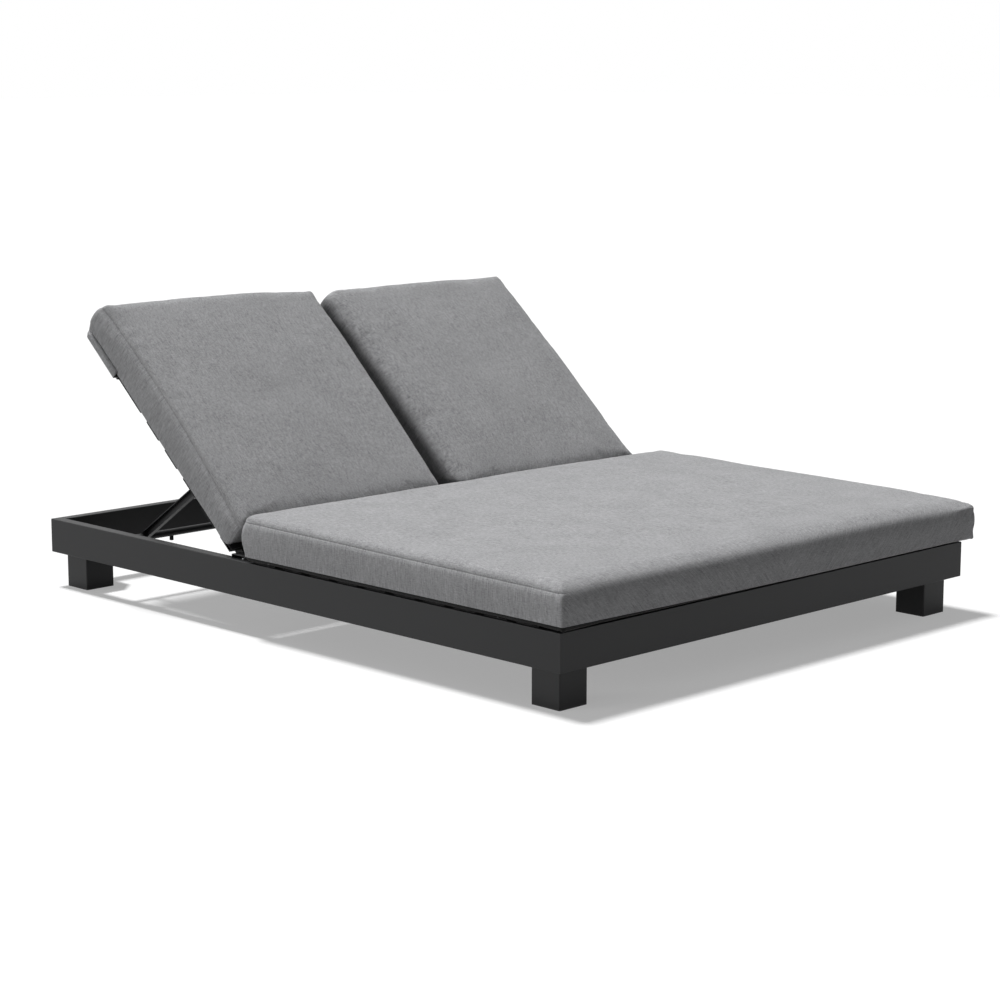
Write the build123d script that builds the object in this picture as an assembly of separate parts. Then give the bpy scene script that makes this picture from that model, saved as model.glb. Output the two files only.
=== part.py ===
"""Double chaise lounger: a low aluminium frame with a wide seat and two backrests that tilt.

Millimetres. X is the width, Y runs from the foot (-) to the head (+), Z is up from the floor.
The origin lies on the floor under the middle of the lounger's box.
"""
from build123d import *
import math
import os

os.makedirs("parts", exist_ok=True)

# Driving dimensions of the frame
frame_width = 1550
frame_length = 2000
floor_to_rail = 98
rail_height = 95
rail_thickness = 30
rail_wall = 2.5
rail_edge_radius = 2
foot_overhang = 20

# Legs, glides, gussets and their bolts
leg_size = 92
leg_wall = 3
leg_corner_radius = 3
leg_plate_thickness = 4
glide_thickness = 3
glide_plug_height = 8
glide_plug_wall = 3
glide_plug_clearance = 0.2
gusset_size = 132
gusset_thickness = 4
gusset_corner_cut = 50
bolt_inset_from_leg_face = 20
bolt_radius = 4
bolt_hole_clearance = 0.3
bolt_head_flats = 13
bolt_head_height = 5.3
bolt_end_below_plate = 9

# Beams under the deck
beam_width = 40
beam_depth = 40
beam_wall = 2
beam_edge_radius = 1.5
hinge_beam_width = 30
hinge_beam_depth = 50
backrest_bay_length = 770

# Seat deck
slat_thickness = 12
slat_wall = 1.6
slat_edge_radius = 1.2
seat_slat_width = 72
seat_slat_pitch = 105
slat_end_to_rail_face = 10
screw_to_slat_end = 10
screw_head_radius = 4
screw_head_height = 2.4
screw_radius = 2
screw_length = 7
screw_access_radius = 4.8
screw_hole_clearance = 0.1

# Hinges of the backrests
hinge_behind_beam = 35
hinge_below_rail_top = 13
recline = 41.35
hinge_pin_radius = 5
pin_fit_clearance = 0.05
pin_running_clearance = 0.08
hinge_ear_thickness = 5
hinge_ear_radius = 14
hinge_side_clearance = 0.3
bracket_plate_thickness = 4
rivet_head_radius = 8
rivet_head_height = 3

# Backrest frames, measured along the backrest from the hinge
bar_width = 20
bar_depth = 26
bar_wall = 2
bar_edge_radius = 1.2
bar_solid_end = 20
bar_short_of_panel = 6
outer_bar_to_rail = 55
inner_bar_x = 110
back_side_clearance = 3.5
back_inner_end = 52
back_slat_width = 68
back_slat_pitch = 103
lower_slat_start = 16
head_panel_length = 214
head_panel_clearance = 7

# Prop stays
prop_pivot_along = 261
arm_length = 333.5
foot_bar_height = 166.4
foot_bar_height_when_flat = 156
arm_depth = 22
arm_width = 14
arm_wall = 2.5
arm_pocket_start = 18
arm_to_bar_gap = 2
arm_end_play = 0.15
prop_pin_radius = 4
prop_pin_collar_radius = 7
prop_pin_head_radius = 7
prop_pin_head_height = 2.5
foot_bar_radius = 10
foot_bar_wall = 2
foot_bar_end_gap = 1
lug_to_rail = 170
lug_width = 8
lug_height = 16
lug_drop = 14

# Racks that the foot bars drop into
rack_thickness = 8
rack_clearance = 0.5
rack_notch_depth = 5
rack_notch_clearance = 0.5
rack_end_margin = 14
rack_foot_height = 10
steepest_angle = 60
rack_recline_steps = (60, 50.5, 41.35, 31, 20, 8)

# Seat cushion
seat_side_overhang = 15
seat_rear_to_hinge = 98
seat_side_height_foot = 92
seat_side_height_head = 104
seat_crown_middle = 16
seat_crown_side = 7
seat_foot_bulge = 10
seat_rear_bulge = 14
seat_cap_depth = 16
seat_cap_low_inset = 8
seat_cap_high_inset = 18

# Back cushions
back_cushion_inner = 38
back_cushion_to_frame_edge = 17
back_cushion_start = 25
back_cushion_past_panel = 76
back_cushion_side_thickness = 106
back_cushion_crown_middle = 14
back_cushion_crown_side = 9
back_cushion_low_bulge = 28
back_cushion_head_bulge = 9
back_cap_depth = 14
back_cap_low_inset = 8
back_cap_high_inset = 16

# Cloth hoods behind the head ends
hood_length = 83
hood_thickness = 2
hood_slack = 0.5
hood_edge_drop = 16
hood_edge_run = 25

# One overrun serves every cut
overrun = 1

# Heights and places that follow from the driving dimensions
base_y = foot_overhang / 2
rail_top = floor_to_rail + rail_height
rail_middle = floor_to_rail + rail_height / 2
inner_x = frame_width / 2 - rail_thickness
foot_face_y = base_y - frame_length / 2
head_face_y = base_y + frame_length / 2
foot_inner_y = foot_face_y + rail_thickness
head_inner_y = head_face_y - rail_thickness
deck_top = rail_top + slat_thickness
leg_top = floor_to_rail + rail_edge_radius
hinge_beam_rear = head_inner_y - backrest_bay_length
hinge_beam_front = hinge_beam_rear - hinge_beam_width
deck_span = hinge_beam_rear - seat_slat_width - foot_inner_y
seat_slat_count = 1 + int(deck_span / seat_slat_pitch)
spine_top = rail_top - hinge_beam_depth
hinge_y = hinge_beam_rear + hinge_behind_beam
hinge_z = rail_top - hinge_below_rail_top
deck_h = bar_depth / 2 + slat_thickness
head_panel_end = backrest_bay_length - hinge_behind_beam - head_panel_clearance
head_panel_start = head_panel_end - head_panel_length
back_slat_count = int((head_panel_start - back_slat_width) / back_slat_pitch)
hood_start = head_panel_end - hood_length
back_cushion_end = head_panel_end + back_cushion_past_panel
bar_length = head_panel_end - bar_short_of_panel
outer_bar_x = inner_x - outer_bar_to_rail
back_outer_end = inner_x - back_side_clearance
slat_end_x = frame_width / 2 - slat_end_to_rail_face
arm_offset = bar_width / 2 + arm_to_bar_gap + arm_width / 2
outer_arm_x = outer_bar_x - arm_offset
inner_arm_x = inner_bar_x + arm_offset
foot_bar_outer = inner_x - foot_bar_end_gap
foot_bar_inner = beam_width / 2 + foot_bar_end_gap
lug_x = inner_x - lug_to_rail
pivot_height = hinge_z + prop_pivot_along * math.sin(math.radians(recline))
arm_angle = -math.degrees(math.asin((pivot_height - foot_bar_height) / arm_length))
arm_angle_when_flat = -math.degrees(math.asin((hinge_z - foot_bar_height_when_flat) / arm_length))
prop_ratio = 1 + (arm_angle_when_flat - arm_angle) / recline
sides = {"left": -1, "right": 1}
corners = {
    "head_left": (-1, 1),
    "head_right": (1, 1),
    "foot_left": (-1, -1),
    "foot_right": (1, -1),
}


def save(node, shapes):
    """Write one node, from a shape or from a list of separate shapes."""
    shape = Compound(shapes) if isinstance(shapes, list) else shapes
    shape.label = node
    export_step(shape, f"parts/{node}.step")


def tube(length, width, depth, wall, radius):
    """Rectangular tube along Y, centred, with rounded long edges."""
    outer = Box(width, length, depth)
    outer = fillet(outer.edges().filter_by(Axis.Y), radius)
    bore = Box(width - 2 * wall, length + 2 * overrun, depth - 2 * wall)
    return outer - bore


def side_plane(x):
    """Plane whose sketch runs along Y and Z, facing +X."""
    return Plane(origin=(x, 0, 0), x_dir=(0, 1, 0), z_dir=(1, 0, 0))


def x_rod(radius, x_from, x_to):
    """Round rod along X on the X axis."""
    rod = extrude(Plane.YZ * Circle(radius), amount=abs(x_to - x_from))
    return Pos(min(x_from, x_to), 0, 0) * rod


def z_rod(radius, z_from, z_to):
    """Upright round rod on the Z axis."""
    return Pos(0, 0, z_from) * extrude(Circle(radius), amount=z_to - z_from)


def on_backrest(shape):
    """Move a shape from the backrest's own frame, flat from the hinge, to where it rests."""
    return Pos(0, hinge_y, hinge_z) * Rot(recline, 0, 0) * shape


def bar_point(along, turn):
    """Y and Z of a point on the backrest's middle plane when it is tilted by turn degrees."""
    angle = math.radians(turn)
    return hinge_y + along * math.cos(angle), hinge_z + along * math.sin(angle)


def foot_bar_point(turn):
    """Y and Z of a foot bar's centre when its backrest is tilted by turn degrees."""
    pivot_y, pivot_z = bar_point(prop_pivot_along, turn)
    angle = math.radians(arm_angle + (1 - prop_ratio) * (turn - recline))
    return pivot_y + arm_length * math.cos(angle), pivot_z + arm_length * math.sin(angle)


# Frame


def seat_slat_y(index):
    """Middle of a seat slat, counted from the foot."""
    last = hinge_beam_rear - seat_slat_width / 2
    return last - (seat_slat_count - 1 - index) * seat_slat_pitch


def seat_screw_places():
    """X and Y of every screw of the seat deck."""
    columns = (-slat_end_x + screw_to_slat_end, 0, slat_end_x - screw_to_slat_end)
    return [(x, seat_slat_y(index)) for index in range(seat_slat_count) for x in columns]


def screw_holes(places):
    """Screw holes down through the wall that the seat slats lie on."""
    hole = z_rod(screw_radius + screw_hole_clearance, rail_top - screw_length, rail_top + overrun)
    return [Pos(x, y, 0) * hole for x, y in places]


def mitred_rail(length):
    """Rail along Y with mitred ends, its outer face at X zero and its inner face towards +X."""
    bar = Pos(rail_thickness / 2, 0, 0)
    bar = bar * tube(length, rail_thickness, rail_height, rail_wall, rail_edge_radius)
    outline = Polyline(
        (0, -length / 2),
        (0, length / 2),
        (rail_thickness, length / 2 - rail_thickness),
        (rail_thickness, -length / 2 + rail_thickness),
        close=True,
    )
    keep = extrude(make_face(outline), amount=rail_height, both=True)
    return bar & keep


def make_rails():
    """The four rails, mitred face to face."""
    holes = seat_screw_places()
    for side, sign in sides.items():
        rail = Pos(sign * frame_width / 2, base_y, rail_middle)
        rail = rail * Rot(0, 0, 90 + sign * 90) * mitred_rail(frame_length)
        rail = rail - screw_holes([place for place in holes if place[0] * sign > 0])
        save(f"rail_{side}", rail)
    foot = Pos(0, foot_face_y, rail_middle) * Rot(0, 0, 90) * mitred_rail(frame_width)
    head = Pos(0, head_face_y, rail_middle) * Rot(0, 0, -90) * mitred_rail(frame_width)
    save("rail_foot", foot)
    save("rail_head", head)


def leg_centre(corner):
    """X and Y of a leg's middle."""
    sign_x, sign_y = corners[corner]
    x = sign_x * (inner_x - leg_size / 2)
    y = base_y + sign_y * (frame_length / 2 - rail_thickness - leg_size / 2)
    return x, y


def leg_bolt_offsets():
    """The four bolt places around a leg's middle."""
    reach = leg_size / 2 - bolt_inset_from_leg_face
    return [(i * reach, j * reach) for i in (-1, 1) for j in (-1, 1)]


def bolt_clearance_holes(z_from, z_to):
    """Clearance holes for the four bolts of a leg."""
    hole = z_rod(bolt_radius + bolt_hole_clearance, z_from, z_to)
    return [Pos(dx, dy, 0) * hole for dx, dy in leg_bolt_offsets()]


def leg():
    """Square tube with a plate on top, standing on the middle of its glide."""
    height = leg_top - glide_thickness
    outer = Pos(0, 0, glide_thickness + height / 2) * Box(leg_size, leg_size, height)
    outer = fillet(outer.edges().filter_by(Axis.Z), leg_corner_radius)
    bore_size = leg_size - 2 * leg_wall
    bore_top = leg_top - leg_plate_thickness
    bore = Pos(0, 0, bore_top / 2) * Box(bore_size, bore_size, bore_top)
    return outer - bore - bolt_clearance_holes(bore_top - overrun, leg_top + overrun)


def glide():
    """Flat plastic foot with a hollow plug that goes up into the leg."""
    plate = Pos(0, 0, glide_thickness / 2) * Box(leg_size, leg_size, glide_thickness)
    plate = fillet(plate.edges().filter_by(Axis.Z), leg_corner_radius)
    plug_size = leg_size - 2 * leg_wall - 2 * glide_plug_clearance
    plug = Pos(0, 0, glide_thickness + glide_plug_height / 2)
    plug = plug * Box(plug_size, plug_size, glide_plug_height)
    hollow_size = plug_size - 2 * glide_plug_wall
    hollow = Pos(0, 0, glide_thickness + glide_plug_height)
    hollow = hollow * Box(hollow_size, hollow_size, 2 * glide_plug_height)
    return plate + (plug - hollow)


def gusset():
    """Corner plate for the +X, +Y corner, with its corner at zero and its free corner cut."""
    outline = Polyline(
        (0, 0),
        (-gusset_size, 0),
        (-gusset_size, gusset_corner_cut - gusset_size),
        (gusset_corner_cut - gusset_size, -gusset_size),
        (0, -gusset_size),
        close=True,
    )
    plate = Pos(0, 0, leg_top) * extrude(make_face(outline), amount=gusset_thickness)
    holes = bolt_clearance_holes(leg_top - overrun, leg_top + gusset_thickness + overrun)
    return plate - [Pos(-leg_size / 2, -leg_size / 2, 0) * hole for hole in holes]


def leg_bolt():
    """Hexagon bolt, head on the gusset and shank down through the leg's top plate."""
    seat = leg_top + gusset_thickness
    end = leg_top - leg_plate_thickness - bolt_end_below_plate
    head = RegularPolygon(radius=bolt_head_flats / 2, side_count=6, major_radius=False)
    return z_rod(bolt_radius, end, seat) + Pos(0, 0, seat) * extrude(head, amount=bolt_head_height)


def make_legs():
    """Legs, their glides, and the gussets and bolts that hold them."""
    glides = []
    gussets = []
    bolts = []
    quarter_turns = {(1, 1): 0, (-1, 1): 90, (-1, -1): 180, (1, -1): 270}
    for corner, signs in corners.items():
        x, y = leg_centre(corner)
        save(f"leg_{corner}", Pos(x, y, 0) * leg())
        glides.append(Pos(x, y, 0) * glide())
        corner_x = signs[0] * inner_x
        corner_y = base_y + signs[1] * (frame_length / 2 - rail_thickness)
        gussets.append(Pos(corner_x, corner_y, 0) * Rot(0, 0, quarter_turns[signs]) * gusset())
        bolts += [Pos(x + dx, y + dy, 0) * leg_bolt() for dx, dy in leg_bolt_offsets()]
    save("leg_glides", glides)
    save("corner_gussets", gussets)
    save("leg_bolts", bolts)


def make_beams():
    """Centre beam under the seat, hinge beam across, and the low spine beam to the head."""
    centre_length = hinge_beam_front - foot_inner_y
    centre = Pos(0, foot_inner_y + centre_length / 2, rail_top - beam_depth / 2)
    centre = centre * tube(centre_length, beam_width, beam_depth, beam_wall, beam_edge_radius)
    middle_column = [place for place in seat_screw_places() if place[0] == 0]
    save("centre_beam", centre - screw_holes(middle_column))

    across = tube(2 * inner_x, hinge_beam_width, hinge_beam_depth, beam_wall, beam_edge_radius)
    hinge_beam = Pos(0, hinge_beam_front + hinge_beam_width / 2, rail_top - hinge_beam_depth / 2)
    hinge_beam = hinge_beam * Rot(0, 0, 90) * across
    save("hinge_beam", hinge_beam - screw_holes(middle_column))

    spine_length = head_inner_y - hinge_beam_front
    spine = Pos(0, hinge_beam_front + spine_length / 2, spine_top - beam_depth / 2)
    spine = spine * tube(spine_length, beam_width, beam_depth, beam_wall, beam_edge_radius)
    save("spine_beam", spine)


def slat_screw(seat_z):
    """Screw of a slat whose underside is at seat_z: its head sits on the slat's lower wall."""
    head_seat = seat_z + slat_wall
    head = z_rod(screw_head_radius, head_seat, head_seat + screw_head_height)
    return head + z_rod(screw_radius, head_seat - screw_length, head_seat)


def slat_screw_cut(seat_z):
    """Access hole in a slat's top wall and shank hole in its lower wall."""
    access = z_rod(screw_access_radius, seat_z + slat_thickness / 2, seat_z + slat_thickness + overrun)
    shank = z_rod(screw_radius + screw_hole_clearance, seat_z - overrun, seat_z + slat_thickness / 2)
    return access + shank


def make_seat_deck():
    """Seat slats on the rails and the centre beam, and their screws."""
    blank = Rot(0, 0, 90) * tube(
        2 * slat_end_x, seat_slat_width, slat_thickness, slat_wall, slat_edge_radius
    )
    columns = [x for x, y in seat_screw_places()[:3]]
    cuts = [Pos(x, 0, 0) * slat_screw_cut(-slat_thickness / 2) for x in columns]
    slat = blank - cuts
    for index in range(seat_slat_count):
        place = Pos(0, seat_slat_y(index), rail_top + slat_thickness / 2)
        save(f"seat_slat_{index + 1:02d}", place * slat)
    save("seat_slat_screws", [Pos(x, y, 0) * slat_screw(rail_top) for x, y in seat_screw_places()])


# Hinges


def hinge_bracket():
    """Folded bracket on the hinge beam's rear face, with an ear on each side of a side bar."""
    ear_gap = bar_width + 2 * hinge_side_clearance
    width = ear_gap + 2 * hinge_ear_thickness
    height = 2 * hinge_ear_radius
    plate_y = hinge_beam_rear + bracket_plate_thickness / 2
    plate = Pos(0, plate_y, hinge_z) * Box(width, bracket_plate_thickness, height)
    ears = Pos(0, hinge_beam_rear + hinge_behind_beam / 2, hinge_z)
    ears = ears * Box(width, hinge_behind_beam, height)
    round_end = Pos(0, hinge_y, hinge_z) * x_rod(hinge_ear_radius, -width / 2, width / 2)
    gap_length = hinge_behind_beam + hinge_ear_radius
    gap = Pos(0, hinge_beam_rear + bracket_plate_thickness + gap_length / 2, hinge_z)
    gap = gap * Box(ear_gap, gap_length, height + 2 * overrun)
    bore = Pos(0, hinge_y, hinge_z) * x_rod(hinge_pin_radius + pin_fit_clearance, -width, width)
    return plate + (ears + round_end - gap) - bore


def hinge_pin():
    """Riveted pin through both ears of a bracket."""
    reach = bar_width / 2 + hinge_side_clearance + hinge_ear_thickness
    pin = x_rod(hinge_pin_radius, -reach, reach)
    near_head = x_rod(rivet_head_radius, -reach - rivet_head_height, -reach)
    far_head = x_rod(rivet_head_radius, reach, reach + rivet_head_height)
    return Pos(0, hinge_y, hinge_z) * (pin + near_head + far_head)


def make_hinges():
    """Four brackets and their pins."""
    pins = []
    for side, sign in sides.items():
        for name, bar_x in (("outer", outer_bar_x), ("inner", inner_bar_x)):
            save(f"hinge_bracket_{side}_{name}", Pos(sign * bar_x, 0, 0) * hinge_bracket())
            pins.append(Pos(sign * bar_x, 0, 0) * hinge_pin())
    save("hinge_pins", pins)


# Racks


def rack():
    """Notched plate whose crest follows the foot bar's path just below it."""
    drop = foot_bar_radius + rack_clearance
    steps = 2 * len(rack_recline_steps)
    path = [foot_bar_point(steepest_angle * (1 - index / steps)) for index in range(steps + 1)]
    crest = [(y, z - drop) for y, z in path]
    start_y = crest[0][0] - rack_end_margin
    end_y = crest[-1][0] + rack_end_margin
    low_z = floor_to_rail + rack_foot_height
    outline = [(start_y, low_z), (start_y, crest[0][1])] + crest + [(end_y, crest[-1][1]), (end_y, low_z)]
    plate = extrude(side_plane(0) * make_face(Polyline(*outline, close=True)), amount=rack_thickness)
    notch_radius = foot_bar_radius + rack_notch_clearance
    for turn in rack_recline_steps:
        y, z = foot_bar_point(turn)
        plate -= Pos(0, y, z - rack_notch_depth) * x_rod(notch_radius, -overrun, rack_thickness + overrun)
    return plate


def make_racks():
    """Outer racks on the side rails and inner racks on the spine beam."""
    plate = rack()
    spine_face = beam_width / 2
    save("rack_left_outer", Pos(-inner_x, 0, 0) * plate)
    save("rack_left_inner", Pos(-spine_face - rack_thickness, 0, 0) * plate)
    save("rack_right_outer", Pos(inner_x - rack_thickness, 0, 0) * plate)
    save("rack_right_inner", Pos(spine_face, 0, 0) * plate)


# Backrests


def back_slat_spans():
    """Start and end along the backrest of each slat, the narrow lower one first."""
    spans = [(lower_slat_start, back_slat_width)]
    for index in range(1, back_slat_count + 1):
        start = index * back_slat_pitch
        spans.append((start, start + back_slat_width))
    return spans


def back_screw_rows(start, end):
    """Where the screws of a slat lie along the backrest: one row, or two on the wide panel."""
    middle = (start + end) / 2
    if end - start < 2 * back_slat_width:
        return [middle]
    return [start + back_slat_width / 2, end - back_slat_width / 2]


def back_slat(sign, start, end):
    """Hollow slat across the two side bars, cut for its screws."""
    length = back_outer_end - back_inner_end
    middle_x = sign * (back_outer_end + back_inner_end) / 2
    middle_h = (bar_depth + slat_thickness) / 2
    blank = Rot(0, 0, 90) * tube(length, end - start, slat_thickness, slat_wall, slat_edge_radius)
    blank = Pos(middle_x, (start + end) / 2, middle_h) * blank
    cut = slat_screw_cut(bar_depth / 2)
    places = [(sign * x, t) for x in (outer_bar_x, inner_bar_x) for t in back_screw_rows(start, end)]
    return blank - [Pos(x, t, 0) * cut for x, t in places]


def side_bar():
    """Side bar from the hinge up: solid at its round end, hollow above, bored for its pins."""
    radius = bar_depth / 2
    straight = Pos(0, bar_length / 2, 0) * Box(bar_width, bar_length, bar_depth)
    straight = fillet(straight.edges().filter_by(Axis.Y), bar_edge_radius)
    bar = straight + x_rod(radius, -bar_width / 2, bar_width / 2)
    bore_length = bar_length - bar_solid_end + overrun
    bore = Pos(0, bar_solid_end + bore_length / 2, 0)
    bore = bore * Box(bar_width - 2 * bar_wall, bore_length, bar_depth - 2 * bar_wall)
    hinge_bore = x_rod(hinge_pin_radius + pin_running_clearance, -bar_width, bar_width)
    prop_bore = x_rod(prop_pin_radius + pin_fit_clearance, -bar_width, bar_width)
    bar = bar - bore - hinge_bore - Pos(0, prop_pivot_along, 0) * prop_bore
    rows = [row for start, end in back_slat_spans() for row in back_screw_rows(start, end)]
    rows += back_screw_rows(head_panel_start, head_panel_end)
    hole_radius = screw_radius + screw_hole_clearance
    hole = z_rod(hole_radius, bar_depth / 2 - screw_length, bar_depth / 2 + overrun)
    return bar - [Pos(0, row, 0) * hole for row in rows]


def prop_pin(outward):
    """Pin on a side bar for a prop arm: outward is the side of the bar away from the arm."""
    bar_face = -outward * bar_width / 2
    arm_face = bar_face - outward * (arm_to_bar_gap - arm_end_play)
    arm_far = bar_face - outward * (arm_to_bar_gap + arm_width + arm_end_play)
    head_end = arm_far - outward * prop_pin_head_height
    far_face = outward * bar_width / 2
    shank = x_rod(prop_pin_radius, arm_far, far_face)
    collar = x_rod(prop_pin_collar_radius, arm_face, bar_face)
    arm_head = x_rod(prop_pin_head_radius, head_end, arm_far)
    bar_head = x_rod(prop_pin_head_radius, far_face, far_face + outward * prop_pin_head_height)
    return Pos(0, prop_pivot_along, 0) * (shank + collar + arm_head + bar_head)


def hood(sign):
    """Cloth pocket round the head end of a backrest frame, open below and towards the cushion."""
    outer_x = back_outer_end + hood_slack + hood_thickness
    inner_end = back_inner_end - hood_slack - hood_thickness
    low = -bar_depth / 2 - hood_slack - hood_thickness
    high = deck_h
    end = head_panel_end + hood_slack + hood_thickness

    def shell_outline(inset, low_h, high_h):
        """Pocket section across the backrest, drawn in by inset at its sides."""
        return Polyline(
            (outer_x - inset, high_h),
            (outer_x - inset, low_h + hood_edge_drop),
            (outer_x - inset - hood_edge_run, low_h),
            (inner_end + inset + hood_edge_run, low_h),
            (inner_end + inset, low_h + hood_edge_drop),
            (inner_end + inset, high_h),
            close=True,
        )

    section = Plane(origin=(0, hood_start, 0), x_dir=(-1, 0, 0), z_dir=(0, 1, 0))
    skin = extrude(section * make_face(shell_outline(0, low, high)), amount=end - hood_start)
    pocket = make_face(shell_outline(hood_thickness, low + hood_thickness, high + overrun))
    pocket_length = end - hood_thickness - hood_start
    pocket = extrude(section * pocket, amount=pocket_length)
    cloth = skin - pocket
    return cloth if sign < 0 else mirror(cloth, about=Plane.YZ)


def cushion_face(x, start, end, low, high_start, high_end, crown, bulges):
    """Cushion section at x: flat back, two bulged ends and a crowned front."""
    start_bulge, end_bulge = bulges
    low_start = (start + start_bulge, low)
    low_end = (end - end_bulge, low)
    top_start = (start + start_bulge, high_start)
    top_end = (end - end_bulge, high_end)
    crest = ((start + end) / 2, (high_start + high_end) / 2 + crown)
    outline = [
        Line(low_start, low_end),
        ThreePointArc(low_end, (end, (low + high_end) / 2), top_end),
        ThreePointArc(top_end, crest, top_start),
        ThreePointArc(top_start, (start, (low + high_start) / 2), low_start),
    ]
    return side_plane(x) * make_face(outline)


def crowned_cushion(x_from, x_to, cap, crowns, shape):
    """Cushion lofted across its width, with a crown and sides that draw in at their edges."""
    start, end, low, high_start, high_end, bulges = shape
    cap_depth, low_inset, high_inset = cap
    side_crown, middle_crown = crowns
    middle = (x_from + x_to) / 2
    inner_from = x_from + cap_depth
    inner_to = x_to - cap_depth
    edge = dict(start=start, end=end, low=low, high_start=high_start, high_end=high_end)
    near = cushion_face(inner_from, crown=side_crown, bulges=bulges, **edge)
    centre = cushion_face(middle, crown=middle_crown, bulges=bulges, **edge)
    far = cushion_face(inner_to, crown=side_crown, bulges=bulges, **edge)
    drawn_in = dict(
        start=start + cap_depth,
        end=end - cap_depth,
        low=low + low_inset,
        high_start=high_start - high_inset,
        high_end=high_end - high_inset,
        crown=side_crown,
        bulges=bulges,
    )
    body = loft([near, centre, far])
    near_cap = loft([cushion_face(x_from, **drawn_in), near], ruled=True)
    far_cap = loft([far, cushion_face(x_to, **drawn_in)], ruled=True)
    return body + near_cap + far_cap


def seat_cushion():
    """Seat cushion over the whole width, with its foot end past the rail."""
    half = frame_width / 2 + seat_side_overhang
    shape = (
        foot_face_y - foot_overhang,
        hinge_y - seat_rear_to_hinge,
        deck_top,
        deck_top + seat_side_height_foot,
        deck_top + seat_side_height_head,
        (seat_foot_bulge, seat_rear_bulge),
    )
    cap = (seat_cap_depth, seat_cap_low_inset, seat_cap_high_inset)
    return crowned_cushion(-half, half, cap, (seat_crown_side, seat_crown_middle), shape)


def back_cushion(sign):
    """Back cushion in the backrest's own frame."""
    shape = (
        back_cushion_start,
        back_cushion_end,
        deck_h,
        deck_h + back_cushion_side_thickness,
        deck_h + back_cushion_side_thickness,
        (back_cushion_low_bulge, back_cushion_head_bulge),
    )
    outer = frame_width / 2 - back_cushion_to_frame_edge
    x_from, x_to = sorted((sign * back_cushion_inner, sign * outer))
    cap = (back_cap_depth, back_cap_low_inset, back_cap_high_inset)
    crowns = (back_cushion_crown_side, back_cushion_crown_middle)
    return crowned_cushion(x_from, x_to, cap, crowns, shape)


def make_backrest(side):
    """One backrest: side bars, slats, screws, prop pins, hood and cushion."""
    sign = sides[side]
    bar = side_bar()
    save(f"{side}_side_bar_outer", on_backrest(Pos(sign * outer_bar_x, 0, 0) * bar))
    save(f"{side}_side_bar_inner", on_backrest(Pos(sign * inner_bar_x, 0, 0) * bar))
    spans = back_slat_spans()
    slats = [on_backrest(back_slat(sign, start, end)) for start, end in spans]
    save(f"{side}_back_slats", slats)
    panel_span = (head_panel_start, head_panel_end)
    save(f"{side}_head_panel", on_backrest(back_slat(sign, *panel_span)))
    rows = [row for span in spans + [panel_span] for row in back_screw_rows(*span)]
    screw = slat_screw(bar_depth / 2)
    places = [(sign * x, row) for x in (outer_bar_x, inner_bar_x) for row in rows]
    save(f"{side}_back_screws", [on_backrest(Pos(x, row, 0) * screw) for x, row in places])
    outer_pin = Pos(sign * outer_bar_x, 0, 0) * prop_pin(sign)
    inner_pin = Pos(sign * inner_bar_x, 0, 0) * prop_pin(-sign)
    save(f"{side}_prop_pins", [on_backrest(outer_pin), on_backrest(inner_pin)])
    save(f"{side}_hood", on_backrest(hood(sign)))
    save(f"{side}_back_cushion", on_backrest(back_cushion(sign)))


# Props


def prop_arm(open_side):
    """Channel arm from its pivot along +Y to the foot bar, open towards open_side."""
    radius = arm_depth / 2
    body = Pos(0, arm_length / 2, 0) * Box(arm_width, arm_length, arm_depth)
    body = body + x_rod(radius, -arm_width / 2, arm_width / 2)
    pocket_length = arm_length - arm_pocket_start - foot_bar_radius - arm_wall
    pocket = Pos(open_side * arm_wall, arm_pocket_start + pocket_length / 2, 0)
    pocket = pocket * Box(arm_width, pocket_length, arm_depth - 2 * arm_wall)
    bore = x_rod(prop_pin_radius + pin_running_clearance, -arm_width, arm_width)
    cope = Pos(0, arm_length, 0) * x_rod(foot_bar_radius, -arm_width, arm_width)
    beyond = Pos(0, arm_length + arm_depth, 0) * Box(2 * arm_width, 2 * arm_depth, 2 * arm_depth)
    return body - pocket - bore - cope - beyond


def foot_bar(sign):
    """Tube between the racks, on the X axis, with a stop lug under it."""
    bar = x_rod(foot_bar_radius, sign * foot_bar_inner, sign * foot_bar_outer)
    bore_radius = foot_bar_radius - foot_bar_wall
    bore_from = foot_bar_inner - overrun
    bore_to = foot_bar_outer + overrun
    bore = x_rod(bore_radius, sign * bore_from, sign * bore_to)
    lug = Pos(sign * lug_x, 0, -lug_drop) * Box(lug_width, lug_width, lug_height)
    return bar + lug - bore


def make_prop(side):
    """One prop stay: two channel arms and the foot bar they share."""
    sign = sides[side]
    pivot_y, pivot_z = bar_point(prop_pivot_along, recline)
    swung = Pos(0, pivot_y, pivot_z) * Rot(arm_angle, 0, 0)
    outer = swung * Pos(sign * outer_arm_x, 0, 0) * prop_arm(sign)
    inner = swung * Pos(sign * inner_arm_x, 0, 0) * prop_arm(-sign)
    save(f"{side}_prop_arm_outer", outer)
    save(f"{side}_prop_arm_inner", inner)
    bar_y, bar_z = foot_bar_point(recline)
    save(f"{side}_foot_bar", Pos(0, bar_y, bar_z) * foot_bar(sign))


make_rails()
make_legs()
make_beams()
make_seat_deck()
make_hinges()
make_racks()
save("seat_cushion", seat_cushion())
for each_side in sides:
    make_backrest(each_side)
    make_prop(each_side)
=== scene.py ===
"""Double chaise lounger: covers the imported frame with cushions, cloth pockets and finishes, and lights it."""

import math

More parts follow.
